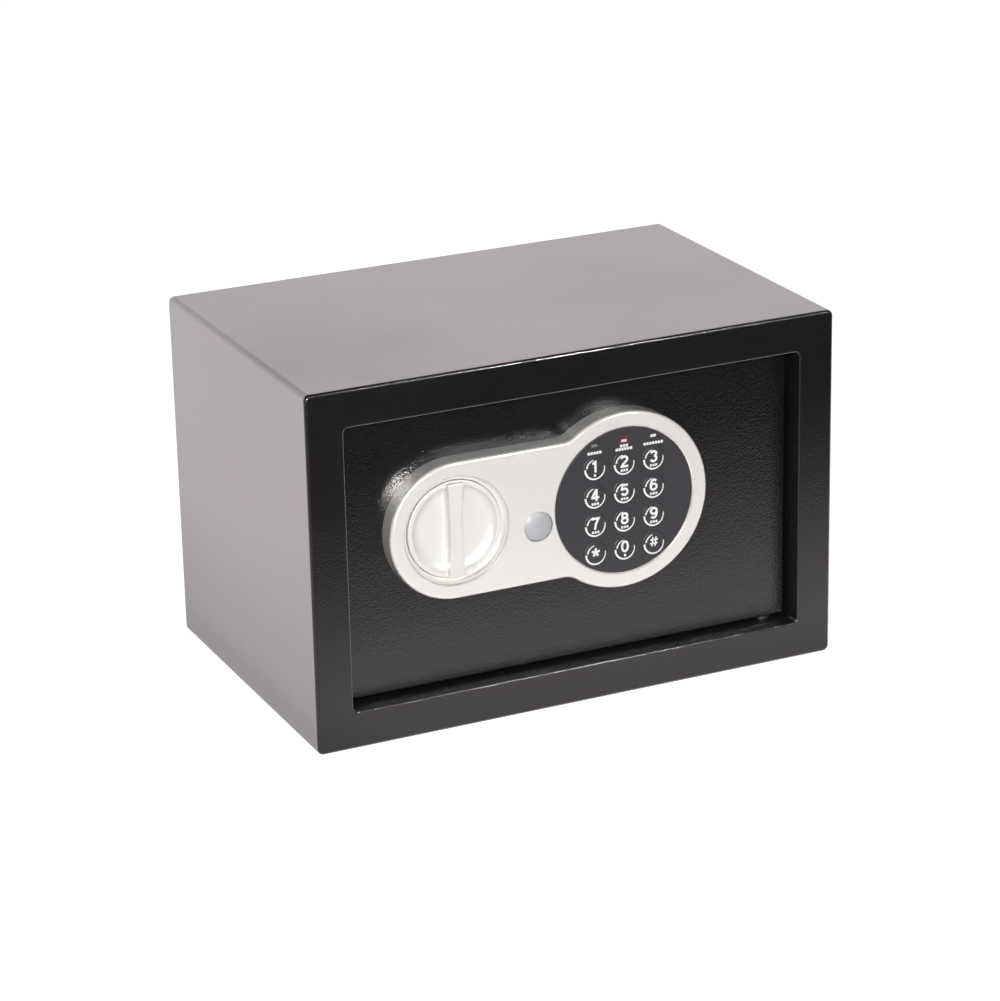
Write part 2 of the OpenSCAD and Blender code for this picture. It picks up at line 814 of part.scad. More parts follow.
module knob_bush() {
    color("#c9a85a") into(knob_x, axis_z, door_y) difference() {
        union() {
            translate([0, 0, pocket_v - panel_t])
                cylinder(r = bush_r, h = crank_y - door_y - 0.5 - pocket_v + panel_t);
            translate([0, 0, door_t]) cylinder(r = bush_r + 2.5, h = 2);
        }
        translate([0, 0, -panel_t]) cylinder(r = shaft_r + shaft_play, h = 2 * panel_t + crank_y - door_y);
    }
}

module bolt_guide() {
    half = carriage_h + 2.5;
    depth = bolt_y + bolt_r + 4 - door_back;
    color("#8e8f93") difference() {
        translate([guide_x, door_back, axis_z - half]) {
            cube([guide_t, depth, 2 * half]);
            cube([guide_foot, 2, 2 * half]);
            for (z = [0, 2 * half - 2]) translate([0, 0, z]) linear_extrude(2)
                polygon([[0, 0], [guide_foot, 0], [guide_foot, 2], [guide_t, 9], [0, 9]]);
        }
        for (z = [-1, 1]) translate([guide_x - over, bolt_y, axis_z + z * bolt_rise]) rotate([0, 90, 0])
            cylinder(r = bolt_r + bolt_fit, h = guide_t + 2 * over);
    }
}

module bolt(z) {
    rim = 1.5;
    head = 2.2;
    color("#d4d5d8") translate([bolt_tip, bolt_y, axis_z + z * bolt_rise]) rotate([0, 90, 0]) {
        cylinder(r1 = bolt_r - rim, r2 = bolt_r, h = rim);
        translate([0, 0, rim]) cylinder(r = bolt_r, h = flange_x - bolt_tip - rim);
        cylinder(r = bolt_neck, h = flange_x + carriage_t + 0.5 - bolt_tip);
        translate([0, 0, flange_x + carriage_t - bolt_tip]) cylinder(r = bolt_r - 1.5, h = head);
    }
}

module upper_bolt() bolt(1);
module lower_bolt() bolt(-1);

module bolt_carriage() {
    slot_w = crank_d + 2 * slot_play;
    slot_low = crank_pin[1] - crank_d / 2 - 0.6;
    slot_high = crank_r + crank_d / 2 + 0.6;
    color("#a9aaae") difference() {
        union() {
            slab(carriage_y, carriage_t) translate([flange_x, axis_z - carriage_h])
                square([carriage_right - flange_x, 2 * carriage_h]);
            translate([flange_x, carriage_y, axis_z - carriage_h])
                cube([carriage_t, bolt_y + bolt_r + 2 - carriage_y, 2 * carriage_h]);
        }
        slab(carriage_y - over, carriage_t + 2 * over) {
            translate([knob_x + crank_pin[0], axis_z + (slot_low + slot_high) / 2])
                round_rect(slot_w, slot_high - slot_low, slot_w / 2 - 0.01);
            for (z = [-1, 1]) translate([stud_x + bolt_travel / 2, axis_z + z * stud_z])
                round_rect(bolt_travel + stud_d + 2 * stud_play, stud_d + 2 * stud_play,
                    stud_d / 2 + stud_play - 0.01);
            translate([(stud_x + carriage_right) / 2, axis_z - carriage_h / 2 + 3])
                round_rect(carriage_right - stud_x - 10, carriage_h / 3, 3);
        }
        for (z = [-1, 1]) translate([flange_x - over, bolt_y, axis_z + z * bolt_rise]) rotate([0, 90, 0])
            cylinder(r = bolt_neck + seat, h = carriage_t + 2 * over);
    }
}

module guide_studs() {
    shoulder = carriage_y - 0.3 - door_back;
    color("#b9babd") for (z = [-1, 1]) into(stud_x, axis_z + z * stud_z, door_back) {
        cylinder(d = stud_d + 4, h = shoulder);
        cylinder(d = stud_d, h = shoulder + carriage_t + 1);
        translate([0, 0, shoulder + carriage_t + 0.6]) cylinder(d = stud_d + 5, h = 2);
    }
}

module solenoid_frame() {
    depth = plunger_y + frame_half - door_back;
    color("#7f8084") difference() {
        translate([plunger_x - frame_half, door_back, coil_bottom - frame_t]) {
            cube([2 * frame_half, frame_t, coil_l + 2 * frame_t]);
            cube([2 * frame_half, depth, frame_t]);
            translate([0, 0, coil_l + frame_t]) cube([2 * frame_half, depth, frame_t]);
        }
        translate([plunger_x, plunger_y, coil_bottom - 2 * frame_t])
            cylinder(r = plunger_r + 0.15, h = coil_l + 4 * frame_t);
    }
}

module solenoid_coil() {
    color("#8a4a25") translate([plunger_x, plunger_y, coil_bottom]) rotate_extrude() {
        translate([plunger_r + 0.3, 0]) square([1, coil_l]);
        for (z = [0, coil_l - 1]) translate([plunger_r + 0.3, z]) square([coil_r - plunger_r - 0.3, 1]);
        translate([plunger_r + 0.3, 0.5]) square([coil_r - plunger_r - 1.1, coil_l - 1]);
    }
}

module solenoid_plunger() {
    color("#c4c5c8") translate([plunger_x, plunger_y, 0]) {
        translate([0, 0, coil_bottom + 4]) cylinder(r = plunger_r, h = plunger_top - coil_bottom - 4.8);
        translate([0, 0, plunger_top - 0.8]) cylinder(r1 = plunger_r, r2 = plunger_r - 0.8, h = 0.8);
        translate([0, 0, collar_top - collar_t]) cylinder(r = plunger_r + 2.3, h = collar_t);
    }
}

module plunger_spring() {
    low = coil_top + frame_t + spring_wire + 0.05;
    high = collar_top - collar_t - spring_wire - 0.05;
    color("#9a9ba0") translate([plunger_x, plunger_y, low])
        coil(plunger_r + 1.2, spring_wire, high - low, 2);
}

// Emergency lock

module lock_housing() {
    color("#c4c5c8") into(lock_x, lock_z, face_y) difference() {
        union() {
            translate([0, 0, lock_v]) cylinder(r = barrel_r, h = barrel_end - face_y - lock_v);
            translate([0, 0, collar_v]) cylinder(r = lock_collar_r, h = panel_t - collar_v);
        }
        cylinder(r = cylinder_d / 2 + shaft_play, h = barrel_end - face_y + over);
    }
}

module lock_nut() {
    color("#b9babd") into(lock_x, lock_z, door_back) difference() {
        cylinder(r = nut_r, h = nut_t, $fn = 6);
        translate([0, 0, -over]) cylinder(r = barrel_r + seat, h = nut_t + 2 * over);
    }
}

module lock_cylinder() {
    tail = barrel_end + 0.3 - face_y;
    color("#d9bf72") into(lock_x, lock_z, face_y) difference() {
        union() {
            translate([0, 0, lock_v + 0.3]) cylinder(d = cylinder_d, h = tail - lock_v - 0.3);
            translate([0, 0, tail - over]) cylinder(r = cam_hub, h = cam_t + over + 0.1);
            translate([0, 0, tail + cam_t + 0.05]) cylinder(r = cam_hub + 1.5, h = 1.2);
        }
        translate([0, 0, lock_v + 0.3 - over]) linear_extrude(8 + over)
            square([1.6, cylinder_d - 4], center = true);
    }
}

module lock_cam() {
    color("#8e8f93") slab(barrel_end + 0.32, cam_t) translate([lock_x, lock_z]) difference() {
        union() {
            circle(cam_hub + 3);
            translate([-4, -cam_l]) square([8, cam_l]);
            translate([0, -cam_l]) circle(4);
        }
        circle(cam_hub + seat);
    }
}

module key_plug() {
    dome_r = (plug_r * plug_r + plug_dome * plug_dome) / (2 * plug_dome);
    color("#a7abb3") into(lock_x, lock_z, face_y) rotate_extrude() {
        translate([0, plug_sink]) square([plug_r, plug_skirt]);
        intersection() {
            translate([0, plug_sink - plug_dome + dome_r]) circle(dome_r);
            translate([0, plug_sink - plug_dome - over]) square([plug_r, plug_dome + 2 * over]);
        }
        translate([plug_r - 1.2, plug_sink]) square([1.2, lock_v - 0.3 - plug_sink]);
    }
}

// Inside of the door

module main_board() {
    parts_y = main_y + main_t - 0.1;
    post_x = main_w / 2 - main_hole;
    post_z = main_h / 2 - main_hole;
    color("#2f6b3f") {
        slab(main_y, main_t) translate([main_x, main_z]) square([main_w, main_h], center = true);
        for (x = [-1, 1], z = [-1, 1]) into(main_x + x * post_x, main_z + z * post_z, door_back)
            cylinder(r = main_hole - 1.5, h = main_post + 0.5);
        slab(parts_y, relay[2]) translate([main_x + main_w / 4, main_z + main_h / 5])
            square([relay[0], relay[1]], center = true);
        slab(parts_y, chip[2]) translate([main_x, main_z - chip[1] / 2])
            square([chip[0], chip[1]], center = true);
        slab(parts_y, main_post - 1) translate([head_x, main_z - main_h / 2 + socket_h / 2 + board_rim])
            square([socket_w, socket_h], center = true);
        into(main_x - main_w / 4, main_z + main_h / 4, parts_y) cylinder(r = buzzer_r, h = buzzer_h);
    }
}

module ribbon_cable() {
    start = face_y + board_v + board_t + 1.02;
    turn_y = main_y + 3.5;
    reach = main_z - main_h / 2 + board_rim - seat - ribbon_z + ribbon_t / 2;
    color("#c9c9c4") translate([head_x - ribbon_w / 2, 0, 0]) rotate([90, 0, 90]) linear_extrude(ribbon_w) {
        translate([start, ribbon_z - ribbon_t / 2]) square([turn_y - start, ribbon_t]);
        translate([turn_y - ribbon_t, ribbon_z - ribbon_t / 2]) square([ribbon_t, reach]);
    }
}

module battery_box() {
    back = cover_y - cover_t;
    color("#2d2d30") difference() {
        slab(bay_floor - bay_wall, back - bay_floor + bay_wall) translate([bay_x, bay_z])
            square([bay_w + 2 * bay_wall, bay_h + 2 * bay_wall], center = true);
        slab(bay_floor, back - bay_floor + over) translate([bay_x, bay_z])
            square([bay_w, bay_h], center = true);
    }
    color("#2d2d30") for (i = [-1:1])
        slab(bay_floor - 0.2, 2.2) translate([bay_x + i * cell_pitch, bay_z])
            square([1.2, bay_h - 10], center = true);
}

function cell_x(i) = bay_x + (i - 1.5) * cell_pitch;

module batteries() {
    color("#3f7f4f") for (i = [0:3]) translate([cell_x(i), cell_y, bay_z])
        mirror([0, 0, i % 2]) translate([0, 0, bay_h / 2 - contact_t - battery_l - 0.02]) {
            cylinder(d = battery_d, h = battery_l - nub_l);
            cylinder(r = nub_r, h = battery_l);
        }
}

module battery_contacts() {
    spring_h = bay_h - battery_l - 2 * contact_t - 0.04;
    color("#c4c5c8") for (i = [0:3]) translate([cell_x(i), cell_y, bay_z]) mirror([0, 0, i % 2]) {
        for (z = [-bay_h / 2, bay_h / 2 - contact_t]) translate([-contact_w / 2, -contact_w / 2, z])
            cube([contact_w, contact_w, contact_t]);
        translate([0, 0, -bay_h / 2 + contact_t + contact_wire + 0.05])
            coil(contact_coil, contact_wire, spring_h - 2 * contact_wire - 0.1, 3);
    }
}

module cover_ear(x, z) {
    translate([cover_x + x * ear_dx, cover_z + z * ear_dz]) circle(ear_r);
    translate([cover_x + x * ear_dx - ear_r, cover_z + z * (ear_dz - cover_margin / 2) - cover_margin / 4])
        square([2 * ear_r, cover_margin / 2]);
    translate([cover_x + x * ear_dx - ear_r, cover_z + min(z * ear_dz, z * (ear_dz - cover_margin / 2))])
        square([2 * ear_r, cover_margin / 2]);
}

module lid_rail(z) {
    leg = lid_gap / 2 + lid_t + rail_play;
    edge = bay_z + z * (lid_h / 2 + lid_gap);
    translate([bay_x - lid_w / 2, cover_y - 0.5, min(edge, edge + z * rail_t)])
        cube([lid_w, leg + 0.5, rail_t]);
    translate([bay_x - lid_w / 2, cover_y + leg, min(edge - z * rail_t, edge + z * rail_t)])
        cube([lid_w, 1.2, 2 * rail_t]);
}

module inner_cover() {
    color("#37363a") difference() {
        union() {
            translate([cover_x, cover_y, cover_z]) mirror([0, 1, 0])
                round_plate(cover_w, cover_h, cover_d, cover_r, cover_e);
            slab(door_back, ear_t) for (x = [-1, 1], z = [-1, 1]) cover_ear(x, z);
            for (z = [-1, 1]) lid_rail(z);
            translate([bay_x + lid_w / 2 + lid_gap, cover_y - 0.5, bay_z - lid_h / 2])
                cube([rail_t, lid_gap / 2 + lid_t + 0.5, lid_h]);
        }
        slab(door_back - over, cover_d - cover_t + over) translate([cover_x, cover_z])
            round_rect(cover_w - 2 * cover_t, cover_h - 2 * cover_t, cover_r - cover_t);
        slab(cover_y - cover_t - over, cover_t + 2 * over) translate([bay_x, bay_z])
            square([bay_w, bay_h], center = true);
        into(reset_x, reset_z, cover_y - cover_t - over)
            cylinder(r = reset_r + 0.2, h = cover_t + 2 * over);
        for (z = [-1, 1]) translate([cover_left - over, bolt_y, axis_z + z * bolt_rise]) rotate([0, 90, 0])
            cylinder(r = bolt_r + 0.6, h = cover_t + 2 * over);
        for (x = [-1, 1], z = [-1, 1]) into(cover_x + x * ear_dx, cover_z + z * ear_dz, door_back - over)
            cylinder(r = screw_r + 0.2, h = ear_t + 2 * over);
    }
}

module battery_cover() {
    ridges = 5;
    ridge_l = 20;
    color("#3d3c40") {
        translate([bay_x - lid_w / 2, cover_y + lid_gap / 2, bay_z - lid_h / 2])
            cube([lid_w, lid_t, lid_h]);
        for (i = [0:ridges - 1])
            translate([bay_x - lid_w / 2 + 3 * (i + 2), cover_y + lid_t, bay_z - ridge_l / 2])
                cube([1, 0.8, ridge_l]);
    }
}

module reset_button() {
    inside = cover_y - cover_t;
    color("#b3262a") into(reset_x, reset_z, inside) {
        translate([0, 0, -0.9]) cylinder(r = reset_r + 1.5, h = 0.8);
        translate([0, 0, -0.2]) cylinder(r = reset_r, h = cover_t + reset_proud);
        translate([0, 0, cover_t + reset_proud - 0.2]) cylinder(r1 = reset_r, r2 = reset_r - 0.5, h = 0.5);
    }
}

module cover_screws() {
    color("#b9babd") for (x = [-1, 1], z = [-1, 1])
        into(cover_x + x * ear_dx, cover_z + z * ear_dz, door_back) {
            translate([0, 0, 0.1 - plate_tap]) cylinder(r = screw_r, h = plate_tap + ear_t);
            translate([0, 0, ear_t]) cylinder(r1 = screw_head, r2 = screw_head - 0.8, h = 1.4);
        }
}

module panel_screws() {
    reach = panel_t + door_t - panel_wall - 0.6;
    color("#b9babd") for (p = boss_places) into(p[0], p[1], door_back) {
        translate([0, 0, -reach]) cylinder(r = screw_r, h = reach + over);
        cylinder(r1 = screw_head, r2 = screw_head - 0.8, h = 1.8);
    }
}

body_shell();
front_frame();
back_panel();
floor_mat();
hinge_washers();
door_plate();
hinge_brackets();
hinge_pins();
panel_housing();
keypad_face();
indicator_lights();
keypad_board();
lock_housing();
lock_nut();
knob_bush();
bolt_guide();
guide_studs();
solenoid_frame();
solenoid_coil();
main_board();
ribbon_cable();
battery_box();
batteries();
battery_contacts();
inner_cover();
cover_screws();
panel_screws();
knob();
knob_shaft();
bolt_carriage();
upper_bolt();
lower_bolt();
solenoid_plunger();
plunger_spring();
lock_cylinder();
lock_cam();
key_plug();
battery_cover();
reset_button();
key_1();
key_2();
key_3();
key_4();
key_5();
key_6();
key_7();
key_8();
key_9();
key_star();
key_0();
key_hash();
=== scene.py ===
import math

import bmesh
import bpy
from mathutils import Matrix, Vector


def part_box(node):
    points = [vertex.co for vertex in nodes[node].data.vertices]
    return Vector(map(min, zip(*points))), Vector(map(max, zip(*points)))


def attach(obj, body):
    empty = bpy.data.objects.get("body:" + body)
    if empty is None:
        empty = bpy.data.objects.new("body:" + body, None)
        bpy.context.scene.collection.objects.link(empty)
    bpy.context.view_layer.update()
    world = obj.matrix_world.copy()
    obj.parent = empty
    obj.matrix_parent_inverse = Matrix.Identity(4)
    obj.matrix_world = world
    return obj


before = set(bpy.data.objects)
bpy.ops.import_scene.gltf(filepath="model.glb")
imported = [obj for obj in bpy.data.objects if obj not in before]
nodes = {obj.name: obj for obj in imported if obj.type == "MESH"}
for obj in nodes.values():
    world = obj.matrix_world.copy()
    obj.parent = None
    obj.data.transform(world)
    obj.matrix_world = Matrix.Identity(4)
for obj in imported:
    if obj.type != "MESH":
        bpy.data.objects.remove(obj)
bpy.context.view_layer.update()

MM = 0.001
X, Y, Z = 0, 1, 2
WHITE = (1.0, 1.0, 1.0)
# The faint tint of what the dark paint mirrors
MIRRORED = (1.0, 0.945, 0.965)


# Places, worked out from the frame, in metres
def low_side(node, axis):
    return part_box(node)[0][axis]


def high_side(node, axis):
    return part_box(node)[1][axis]


def middle(node, axis):
    return (low_side(node, axis) + high_side(node, axis)) / 2


# The cabinet's front, half the size of the door opening, and a depth that takes in the lip round it
FRONT_Y = low_side("front_frame", Y)
MIDDLE_Z = middle("front_frame", Z)
DOOR_GAP = 2 * MM
OPEN_HALF_X = high_side("door_plate", X) + DOOR_GAP
OPEN_HALF_Z = high_side("door_plate", Z) - MIDDLE_Z + DOOR_GAP
LIP_DEPTH = high_side("front_frame", Y) - FRONT_Y + 2 * MM

# The fronts of the keypad and its keys, the middle light, and the keys' spacing. The middle column of keys
# is below the middle light
KEYPAD_Y = low_side("keypad_face", Y)
KEY_Y = low_side("key_1", Y)
MIDDLE_X = middle("indicator_lights", X)
LIGHT_Z = middle("indicator_lights", Z)
TOP_ROW_Z = middle("key_1", Z)
PITCH_X = low_side("key_2", X) - low_side("key_1", X)
PITCH_Z = low_side("key_1", Z) - low_side("key_4", Z)

# The keys, row by row, and the mark that each one carries
MARKS = "123456789*0#"
WORDS = {"*": "star", "#": "hash"}
KEYS = ["key_" + WORDS.get(mark, mark) for mark in MARKS]


# Camera, fitted to eleven corners of the cabinet in the photograph. Angles are in degrees
AZIMUTH, ELEVATION, ROLL = -24.85, 20.17, -1.2
LOOKS_AT = (-0.00044, 0.0, 0.08447)
DISTANCE = 1.95631
FOCAL_PX, PHOTO_PX = 3492.85, 1001
SENSOR = 36.0


def camera_place():
    """Matrix of a camera that looks at LOOKS_AT from the left of the front and from above."""
    azimuth, elevation, roll = (math.radians(angle) for angle in (AZIMUTH, ELEVATION, ROLL))
    level = math.cos(elevation)
    back = Vector((math.sin(azimuth) * level, -math.cos(azimuth) * level, math.sin(elevation)))
    right = Vector((0, 0, 1)).cross(back).normalized()
    up = back.cross(right)
    rolled_right = right * math.cos(roll) + up * math.sin(roll)
    rolled_up = up * math.cos(roll) - right * math.sin(roll)
    place = Matrix((rolled_right, rolled_up, back)).transposed().to_4x4()
    place.translation = Vector(LOOKS_AT) + back * DISTANCE
    return place


camera = bpy.data.objects.new("camera", bpy.data.cameras.new("camera"))
bpy.context.scene.collection.objects.link(camera)
camera.matrix_world = camera_place()
camera.data.sensor_fit = "AUTO"
camera.data.sensor_width = SENSOR
camera.data.lens = FOCAL_PX / PHOTO_PX * SENSOR
camera.data.clip_start = 0.05
camera.data.clip_end = 50
camera.data.dof.use_dof = False
bpy.context.scene.camera = camera
bpy.context.scene.view_settings.view_transform = "Standard"


# Helpers for the materials
class Graph:
    """Short way to write the nodes of a material or of the world."""

    def __init__(self, owner, output="ShaderNodeOutputMaterial"):
        owner.use_nodes = True
        self.owner = owner
        self.tree = owner.node_tree
        self.tree.nodes.clear()
        self.output = self.add(output)

    def feed(self, socket, value):
        """Link another node's output to a socket, or set the socket to a number, vector or colour."""
        if hasattr(value, "is_output"):
            self.tree.links.new(value, socket)
        elif socket.type == "RGBA" and len(value) == 3:
            socket.default_value = (*value, 1.0)
        else:
            socket.default_value = value

    def add(self, kind, **values):
        """A new node. _name sets a property, and iN feeds input number N. Any other name feeds the input of
        that name, with two underscores for a space."""
        node = self.tree.nodes.new(kind)
        for name, value in values.items():
            if name[0] == "_":
                setattr(node, name[1:], value)
        for name, value in values.items():
            if name[0] == "i" and name[1:].isdigit():
                self.feed(node.inputs[int(name[1:])], value)
            elif name[0] != "_":
                self.feed(node.inputs[name.replace("__", " ")], value)
        return node

    def where(self):
        """The place in the frame, in metres, because every piece sits at the frame's origin."""
        return self.add("ShaderNodeTexCoord").outputs["Object"]

    def split(self, vector):
        """The X, Y and Z outputs of a vector."""
        return self.add("ShaderNodeSeparateXYZ", Vector=vector).outputs

    def noise(self, scale, detail=2.0, rough=0.5, at=None):
        return self.add("ShaderNodeTexNoise", Vector=at or self.where(), Scale=scale, Detail=detail,
                        Roughness=rough).outputs["Fac"]

    def map(self, value, low, high, at_low, at_high):
        """Straight map from low..high to at_low..at_high, held beyond both ends."""
        return self.add("ShaderNodeMapRange", Value=value, i1=low, i2=high, i3=at_low,
                        i4=at_high).outputs["Result"]

    def vary(self, noise, low, high):
        """The values that a noise mostly takes, spread over low..high."""
        return self.map(noise, 0.3, 0.7, low, high)

    def math(self, operation, *values):
        numbered = {"i%d" % i: value for i, value in enumerate(values)}
        return self.add("ShaderNodeMath", _operation=operation, **numbered).outputs[0]

    def mix(self, share, first, second):
        """The first colour at a share of 0, the second at 1, and a mixture between."""
        return self.add("ShaderNodeMix", _data_type="RGBA", i0=share, i6=first, i7=second).outputs[2]

    def bump(self, height, strength, distance, **below):
        """A rough surface from a height. Normal= lays it over another one."""
        return self.add("ShaderNodeBump", Height=height, Strength=strength, Distance=distance,
                        **below).outputs["Normal"]

    def surface(self, shader):
        self.feed(self.output.inputs["Surface"], shader)

    def principled(self, **values):
        """End with the usual shader, and give back the finished material."""
        self.surface(self.add("ShaderNodeBsdfPrincipled", **values).outputs[0])
        return self.owner


def new_material(name):
    return Graph(bpy.data.materials.new(name))


def shade(colour, factor):
    """A colour made darker or lighter by a factor."""
    return [min(1.0, channel * factor) for channel in colour]


def dress(material, *names):
    for name in names:
        slots = nodes[name].data.materials
        slots.clear()
        slots.append(material)


# Materials
def cabinet_paint():
    """Black powder coat, whose gloss rises steeply where it is seen at a low angle. On the lip round the door
    opening its gloss and coat are cut down nearly to matt, so that this recess looks dark: painted shade.
    """
    g = new_material("cabinet_paint")
    cloud = g.noise(7.0, 4.0, 0.6)
    colour = g.mix(cloud, (0.0045, 0.0038, 0.0045), (0.0075, 0.0064, 0.0072))
    peel = g.bump(g.noise(750.0), 0.30, 0.0004)
    normal = g.bump(g.noise(1500.0, 3.0, 0.6), 0.30, 0.0002, Normal=peel)
    # 1 on the lip round the door opening and 0 elsewhere, also on the frame's front. There the gloss is cut
    # down as painted shade
    slack, front_skin = 0.2 * MM, 0.8 * MM
    at = g.split(g.where())
    from_middle = g.math("ABSOLUTE", g.math("SUBTRACT", at["Z"], MIDDLE_Z))
    in_x = g.math("LESS_THAN", g.math("ABSOLUTE", at["X"]), OPEN_HALF_X + slack)
    in_z = g.math("LESS_THAN", from_middle, OPEN_HALF_Z + slack)
    in_y = g.math("COMPARE", at["Y"], FRONT_Y + front_skin + LIP_DEPTH / 2, LIP_DEPTH / 2)
    shaded_lip = g.math("MULTIPLY", g.math("MULTIPLY", in_x, in_z), in_y)
    low_angle = g.add("ShaderNodeLayerWeight", Blend=0.5).outputs["Facing"]
    gloss = g.math("MULTIPLY", g.map(low_angle, 0.36, 0.59, 0.30, 4.95), g.map(shaded_lip, 0.0, 1.0, 1.0, 0.08))
    patch = g.map(g.noise(14.0, 3.0, 0.6), 0.42, 0.62, 0.0, 1.0)
    return g.principled(Base__Color=colour, Roughness=g.vary(cloud, 0.34, 0.44), IOR=1.5, Normal=normal,
                        Specular__IOR__Level=gloss,
                        Specular__Tint=g.mix(patch, MIRRORED, (0.97, 0.965, 0.965)),
                        Coat__Weight=g.map(shaded_lip, 0.0, 1.0, 0.9, 0.15), Coat__Roughness=0.10,
                        Coat__IOR=1.5, Coat__Normal=peel)


def door_paint():
    """The same paint, coarser: small smooth swellings that throw the lamp's light back beside the panel."""
    g = new_material("door_paint")
    cloud = g.noise(9.0, 4.0, 0.6)
    colour = g.mix(cloud, (0.0045, 0.0038, 0.0045), (0.0085, 0.0072, 0.0082))
    swellings = g.bump(g.noise(950.0, 1.0), 0.4, 0.0005)
    normal = g.bump(g.noise(2300.0, 2.0, 0.6), 0.25, 0.0002, Normal=swellings)
    return g.principled(Base__Color=colour, Roughness=g.vary(cloud, 0.26, 0.34), IOR=1.5, Normal=normal,
                        Specular__IOR__Level=0.35, Coat__Weight=0.9, Coat__Roughness=0.12,
                        Coat__IOR=1.5, Coat__Normal=normal)


def silver_plastic(name, base, rough, metallic, shaded_wall_share):
    """Silver lacquer. Walls at right angles to the face are painted darker, to the given share of its
    lightness: painted shade. A rounded edge is the more metallic, the more it turns away from the face."""
    g = new_material(name)
    flake = g.noise(5200.0, 1.0)
    facing = g.math("ABSOLUTE", g.split(g.add("ShaderNodeTexCoord").outputs["Normal"])["Y"])
    # painted shade: 1 on walls at right angles to the face, which are painted darker than the face
    painted_wall_shade = g.map(facing, 0.10, 0.45, 1.0, 0.0)
    colour = g.mix(g.map(flake, 0.35, 0.65, 0.0, 1.0), shade(base, 0.975), base)
    return g.principled(Base__Color=g.mix(painted_wall_shade, colour, shade(base, shaded_wall_share)),
                        Roughness=g.vary(g.noise(16.0, 4.0, 0.6), rough - 0.02, rough + 0.03),
                        Metallic=g.map(facing, 0.60, 0.98, 0.5, metallic), IOR=1.5,
                        Normal=g.bump(flake, 0.04, 0.0001))


def plastic(name, base, rough, spread, grain, strength, distance=0.0001, **more):
    """Plastic, print or cable: a cloudy colour that varies by spread, with a fine raised grain."""
    g = new_material(name)
    bits = g.noise(grain)
    return g.principled(Base__Color=g.mix(g.noise(20.0, 4.0, 0.6), shade(base, 1 - spread),
                                          shade(base, 1 + spread)),
                        Roughness=g.vary(bits, rough - 0.04, rough + 0.04),
                        Normal=g.bump(bits, strength, distance), **more)


def metal(name, base, rough, stretch, scale, strength=0.05):
    """Bare metal with the fine lines that turning, rolling or plating leaves."""
    g = new_material(name)
    at = g.add("ShaderNodeMapping", Vector=g.where(), Scale=stretch).outputs[0]
    lines = g.noise(scale, 3.0, 0.6, at)
    return g.principled(Base__Color=g.mix(g.noise(30.0, 3.0, 0.6), shade(base, 0.92), base), Metallic=1.0,
                        Roughness=g.vary(lines, rough - 0.06, rough + 0.08),
                        Normal=g.bump(lines, strength, 0.0001))


def circuit_board():
    """Green board with raised light areas and thin dark lines between them."""
    g = new_material("circuit_board")
    edges = g.add("ShaderNodeTexVoronoi", _feature="DISTANCE_TO_EDGE", Vector=g.where(), Scale=260.0)
    near_edge = g.map(edges.outputs["Distance"], 0.02, 0.05, 1.0, 0.0)
    return g.principled(Base__Color=g.mix(near_edge, (0.012, 0.11, 0.035), (0.03, 0.2, 0.07)),
                        Roughness=g.vary(g.noise(400.0), 0.32, 0.4), Normal=g.bump(near_edge, 0.15, 0.0002),
                        Coat__Weight=0.3, Coat__Roughness=0.2)


def felt():
    g = new_material("mat_felt")
    fibres = g.noise(1800.0, 4.0, 0.7)
    colour = g.mix(fibres, (0.035, 0.035, 0.04), (0.11, 0.11, 0.12))
    colour = g.mix(g.vary(g.noise(40.0, 4.0, 0.6), 0.0, 0.35), colour, (0.07, 0.07, 0.078))
    return g.principled(Base__Color=colour, Roughness=0.95, Normal=g.bump(fibres, 0.6, 0.0006),
                        Sheen__Weight=0.3, Sheen__Roughness=0.5)


def copper_winding():
    """Turns of enamelled wire, one above the other, painted darker in the grooves between them: painted
    shade.
    """
    g = new_material("copper_winding")
    wire = 0.6 * MM
    wave = g.math("SINE", g.math("MULTIPLY", g.split(g.where())["Z"], 2 * math.pi / wire))
    crest_and_painted_groove_shade = g.map(wave, -1, 1, 0, 1)
    # painted shade: the colour darkens towards the grooves between the turns
    return g.principled(Base__Color=g.mix(crest_and_painted_groove_shade, (0.28, 0.09, 0.03), (0.55, 0.22, 0.09)), Metallic=0.6,
                        Roughness=g.map(wave, -1, 1, 0.4, 0.3), Normal=g.bump(crest_and_painted_groove_shade, 0.6, 0.0003))


def battery_sleeve():
    """Plain sleeve, with another colour above a ring near the top."""
    g = new_material("battery_sleeve")
    ring_z = 0.0825
    above = g.math("GREATER_THAN", g.split(g.where())["Z"], ring_z)
    grain = g.noise(260.0, 3.0, 0.6)
    colour = g.mix(above, (0.02, 0.16, 0.055), (0.5, 0.42, 0.26))
    return g.principled(Base__Color=g.mix(g.vary(grain, 0.0, 0.12), colour, (0.0, 0.0, 0.0)),
                        Metallic=0.35, Roughness=g.vary(grain, 0.24, 0.34),
                        Normal=g.bump(grain, 0.04, 0.0001), Coat__Weight=0.4)


def light_lens():
    """Three small windows: grey, red and pale, by their place across the keypad."""
    g = new_material("light_lens")
    across = g.split(g.where())["X"]
    past_first = g.math("GREATER_THAN", across, MIDDLE_X - PITCH_X / 2)
    past_second = g.math("GREATER_THAN", across, MIDDLE_X + PITCH_X / 2)
    grain = g.noise(900.0)
    colour = g.mix(past_first, (0.21, 0.20, 0.20), (0.76, 0.545, 0.58))
    return g.principled(Base__Color=g.mix(past_second, colour, (0.76, 0.74, 0.72)),
                        Roughness=g.vary(grain, 0.2, 0.3), Normal=g.bump(grain, 0.03, 0.0001),
                        Coat__Weight=0.5)


